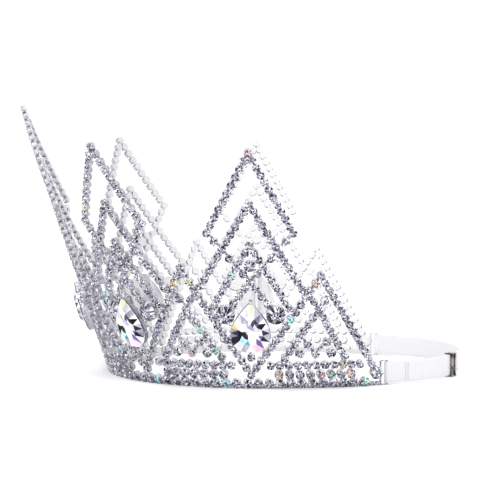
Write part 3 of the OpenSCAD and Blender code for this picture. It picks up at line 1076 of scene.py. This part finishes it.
class TallPeak(SmallPeak):
    """A tall peak, which has more chains, and a drop in a setting of its own."""

    METAL = ("outer_chain", "middle_chain", "inner_chain", "drop_setting", "accent_settings")
    MIRRORED = (TallPeakName.RIGHT_FRONT, TallPeakName.RIGHT_SIDE)

    def build(self) -> None:
        """Builds and dresses the peak and its drop."""
        super().build()
        start = self.name.value
        node = f"{start}_drop_stone"
        draft, seat = Draft(), Seat.of(loose_solids(node)[0])
        PearDrop(seat, random.Random(self.seed + 1), self.name in self.MIRRORED).cut(draft)
        self.finishes.place(draft.build(f"{start}_cut_drop"), DROP_CRYSTAL, CROWN, node)


@dataclass
class Band:
    """The band at the crown's foot, with its end loops.

    Attributes:
        finishes: The materials.
        seed: The random numbers' seed.
    """

    finishes: Finishes
    seed: int

    METAL = ("band_bottom_row", "band_top_row", "band_settings", "left_end_loop", "right_end_loop")

    def build(self) -> None:
        """Builds and dresses the band."""
        for node in self.METAL:
            self.finishes.dress(node, CUP_SILVER)
        StoneSet("band", self.finishes, self.seed, BAND_FIERY).build()


@dataclass
class ElasticStrap:
    """The ribbed elastic, on the line of its CAD solid, and its stitches.

    Attributes:
        finishes: The materials.
        rib: The distance from one rib to the next, in metres.
        step: The distance between two points along it.
        relief: How much thinner it is between ribs.
        thread: The greatest radius of a stitch.
    """

    finishes: Finishes
    rib: float = 1.3 * MM
    step: float = 0.26 * MM
    relief: float = 0.22
    thread: float = 0.17 * MM

    ACROSS = (0.0, 0.02, 0.06, 0.2, 0.35, 0.5, 0.65, 0.8, 0.94, 0.98, 1.0)
    EDGE_SHARES = (0.3, 0.75, 1.0)
    NEAR = 0.01 * MM
    CORNER = math.radians(60)
    STITCH_SIDES, STITCH_ROUNDS, STITCH_END = 8, 7, 0.15

    def outline(self) -> list:
        """Returns the corners of the CAD strap's top face, in order round it."""
        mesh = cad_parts["strap"].data
        top = max(v.co.z for v in mesh.vertices)
        near = self.NEAR
        key = {}
        for v in mesh.vertices:
            if v.co.z > top - near:
                key[v.index] = (round(v.co.x / near), round(v.co.y / near))
        sides: dict = {}  # a dict, because it keeps its order
        for face in mesh.polygons:
            inside = [key[i] for i in face.vertices if i in key]
            if len(set(inside)) >= 3 and len(inside) == len(face.vertices):
                for a, b in zip(inside, inside[1:] + inside[:1]):
                    if a != b:
                        sides[(a, b)] = True
        following = {a: b for (a, b) in sides if (b, a) not in sides}
        first = next(iter(following))
        loop = [first]
        while following[loop[-1]] != first:
            loop.append(following[loop[-1]])
        return [Vector((x * near, y * near)) for x, y in loop]

    def centre_line(self) -> tuple:
        """Returns the points of the strap's centre line in plan, and half its thickness."""
        loop = self.outline()
        count = len(loop)

        def turn(i: int) -> float:
            """Returns the angle between the two sides that meet at a corner."""
            return (loop[i] - loop[i - 1]).angle(loop[(i + 1) % count] - loop[i])

        def walk(start: int, stop: int) -> list:
            """Returns the corners from one to another, with both."""
            return [loop[(start + k) % count] for k in range((stop - start) % count + 1)]

        sharp = [i for i in range(count) if turn(i) > self.CORNER]
        ends = [(i, (i + 1) % count) for i in sharp if (i + 1) % count in sharp]
        (one_end, start), (stop, other_end) = ends[0], ends[1]
        one, two = walk(start, stop), walk(other_end, one_end)[::-1]
        return [(a + b) / 2 for a, b in zip(one, two)], (one[0] - two[0]).length / 2

    @staticmethod
    def resample(line: list, step: float) -> list:
        """Returns (distance, point, direction) at even steps along a line."""
        lengths = [0.0]
        for a, b in zip(line, line[1:]):
            lengths.append(lengths[-1] + (b - a).length)
        count = max(2, round(lengths[-1] / step))
        found, part = [], 0
        for i in range(count + 1):
            s = lengths[-1] * i / count
            while part < len(line) - 2 and s > lengths[part + 1]:
                part += 1
            share = (s - lengths[part]) / (lengths[part + 1] - lengths[part])
            found.append((s, line[part].lerp(line[part + 1], share)))
        ways = []
        for i, (s, point) in enumerate(found):
            a, b = found[max(i - 2, 0)][1], found[min(i + 2, count)][1]
            ways.append((s, point, (b - a).normalized()))
        return ways

    def build(self) -> None:
        """Weaves the elastic and sews its stitches."""
        low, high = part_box("strap")
        centre, half = self.centre_line()
        line = self.resample(centre, self.step)
        wide, last = len(self.ACROSS), len(self.EDGE_SHARES) - 1
        points, faces, places = [], [], []

        def quad(a: int, b: int, c: int, d: int, turned: bool) -> None:
            """Adds a face, turned over if that is True."""
            faces.append((d, c, b, a) if turned else (a, b, c, d))

        for s, point, way in line:
            normal = Vector((-way.y, way.x))
            rib = 1 - self.relief * (0.5 + 0.5 * math.cos(math.tau * s / self.rib)) ** 2
            for sign in (-1, 1):
                for place, share in enumerate(self.ACROSS):
                    edge = self.EDGE_SHARES[min(place, wide - 1 - place, last)]
                    off = normal * (half * rib * edge * sign)
                    above = (high[2] - low[2]) * share
                    points.append(Vector((point.x + off.x, point.y + off.y, low[2] + above)))
                    places.append((s, above))
        row = 2 * wide
        for at in range(0, (len(line) - 1) * row, row):
            for side in (0, wide):
                for a in range(at + side, at + side + wide - 1):
                    quad(a, a + 1, a + row + 1, a + row, side == 0)
            for place in (0, wide - 1):
                a, b = at + place, at + wide + place
                quad(a, b, b + row, a + row, place > 0)
        for start in (0, (len(line) - 1) * row):
            for a in range(start, start + wide - 1):
                quad(a, a + 1, a + wide + 1, a + wide, start > 0)
        draft = Draft()
        draft.add(points, faces, places=places)
        piece = draft.build("ribbed_elastic", smooth=True)
        self.finishes.place(piece, WHITE_ELASTIC, CROWN, "strap")
        stitches = self.sew()

    def sew(self) -> Object:
        """Returns the stitches, one rounded thread for each CAD stitch."""
        draft = Draft()
        sides, rounds, end = self.STITCH_SIDES, self.STITCH_ROUNDS, self.STITCH_END
        faces = []
        for start in range(0, rounds * sides, sides):
            for k in range(sides):
                a, b = start + k, start + (k + 1) % sides
                faces.append((a, b, b + sides, a + sides))
        faces.append(tuple(range(sides))[::-1])
        faces.append(tuple(rounds * sides + k for k in range(sides)))
        for solid in loose_solids("strap_stitching"):
            low, high = Vector(solid.min(axis=0)), Vector(solid.max(axis=0))
            middle = (low + high) / 2
            size = high - low
            radius = min(self.thread, max(size.x, size.y) / 2)
            points, places = [], []
            for i in range(rounds + 1):
                share = i / rounds
                bulge = math.sqrt(max(0.0, 1 - (2 * share - 1) ** 4))
                wide = radius * (bulge * (1 - end) + end)
                for k in range(sides):
                    a = math.tau * k / sides
                    x, y = middle.x + wide * math.cos(a), middle.y + wide * math.sin(a)
                    points.append(Vector((x, y, low.z + size.z * share)))
                    places.append((share * size.z, k * radius * math.tau / sides))
            draft.add(points, faces, places=places)
        piece = draft.build("hem_stitches", smooth=True)
        self.finishes.place(piece, WHITE_THREAD, CROWN, "strap_stitching")
        return piece


@dataclass
class Slider:
    """The small slide adjuster.

    Attributes:
        finishes: The materials.
        edge: How far its edges are rounded, in metres.
    """

    finishes: Finishes
    edge: float = 0.22 * MM

    WELD = 0.005 * MM
    ROUNDS = 3
    SHARP = math.radians(50)

    def build(self) -> None:
        """Rounds the slider's edges and dresses it."""
        for node in ("slider_frame", "slider_bar"):
            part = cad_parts[node]
            weld = part.modifiers.new("weld", "WELD")
            weld.merge_threshold = self.WELD
            rounding = part.modifiers.new("rounding", "BEVEL")
            rounding.width, rounding.segments = self.edge, self.ROUNDS
            rounding.limit_method, rounding.angle_limit = "ANGLE", self.SHARP
            self.finishes.dress(node, SLIDER_STEEL)
            log.info("%s: edges rounded", node)


@dataclass
class Studio:
    """The floor, the lights and the camera.

    Attributes:
        target: The point that the camera looks at.
        azimuth: The camera's place round the tiara, in degrees.
        elevation: Its height above the horizon, in degrees.
        distance: How far it is from the target.
        lens: Its focal length in millimetres.
    """

    target: Vector = field(default_factory=lambda: Vector((0, -0.0093, 0.0645)))
    azimuth: float = 91.4
    elevation: float = 3.7
    distance: float = 1.03
    lens: float = 154.5

    FLOOR_HALF, FLOOR_GAP = 6.0, 0.01 * MM
    FLOOR_DARK, FLOOR_LIGHT = (0.93, 0.93, 0.93, 1), (0.96, 0.96, 0.96, 1)
    MOTTLE_SCALE = 30.0
    SKY, SKY_STRENGTH = (1.0, 1.0, 1.0, 1), 1.12
    LIGHTS = (
        ("key", (0.9, -0.9, 1.3), 0.7, 9.0),
        ("fill", (1.4, 0.9, 0.7), 1.0, 5.0),
        ("back", (-1.3, 0.3, 1.0), 1.2, 5.0),
    )

    def floor(self) -> None:
        """Lays a plain pale floor just under the tiara."""
        size, low = self.FLOOR_HALF, float(CAD_BOX[0][2]) - self.FLOOR_GAP
        mesh = bpy.data.meshes.new("studio_floor")
        corners = [(-size, -size, low), (size, -size, low), (size, size, low), (-size, size, low)]
        mesh.from_pydata(corners, [], [(0, 1, 2, 3)])
        floor = put("studio_floor", mesh)
        surface = Surface("pale_floor")
        mottle = surface.noise(self.MOTTLE_SCALE, 2.0)
        colour = surface.blend(mottle, self.FLOOR_DARK, self.FLOOR_LIGHT)
        mesh.materials.append(surface.set(
            {"Base Color": colour, "Roughness": 0.9, "Specular IOR Level": 0.0}))

    def light(self, name: str, place: tuple, size: float, power: float) -> None:
        """Adds a soft square light that faces the tiara.

        Args:
            name: The light's name.
            place: Where it stands.
            size: The length of its sides.
            power: Its power in watts.
        """
        data = bpy.data.lights.new(name, "AREA")
        data.size, data.energy = size, power
        lamp = put(name, data)
        lamp.location = place
        lamp.rotation_mode = "QUATERNION"
        lamp.rotation_quaternion = (self.target - Vector(place)).to_track_quat("-Z", "Y")

    def camera(self) -> None:
        """Stands the camera at its place, aimed at the target."""
        data = bpy.data.cameras.new("studio_camera")
        data.sensor_width, data.lens = 36.0, self.lens
        data.clip_start, data.clip_end = 0.01, 50.0
        camera = put("studio_camera", data)
        a, e = math.radians(self.azimuth), math.radians(self.elevation)
        back = Vector((math.sin(a) * math.cos(e), -math.cos(a) * math.cos(e), math.sin(e)))
        camera.location = self.target + back * self.distance
        camera.rotation_mode = "QUATERNION"
        camera.rotation_quaternion = (-back).to_track_quat("-Z", "Y")
        bpy.context.scene.camera = camera

    def build(self) -> None:
        """Sets up the studio."""
        scene = bpy.context.scene
        scene.view_settings.view_transform = "Standard"
        world = bpy.data.worlds.new("studio_world")
        world.use_nodes = True
        background = world.node_tree.nodes["Background"]
        background.inputs["Color"].default_value = self.SKY
        background.inputs["Strength"].default_value = self.SKY_STRENGTH
        scene.world = world
        self.floor()
        for light in self.LIGHTS:
            self.light(*light)
        self.camera()
        log.info("studio: floor, three lights and the camera")


def main() -> None:
    """Builds every sub-assembly in order."""
    logging.basicConfig(level=logging.INFO, format="%(message)s")
    Studio().build()
    finishes = Finishes()
    for place, tall in enumerate(TallPeakName):
        TallPeak(tall, finishes, 100 + 10 * place).build()
    for place, small in enumerate(SmallPeakName):
        SmallPeak(small, finishes, 200 + 10 * place).build()
    Band(finishes, 300).build()
    ElasticStrap(finishes).build()
    Slider(finishes).build()


if __name__ == "__main__":
    main()
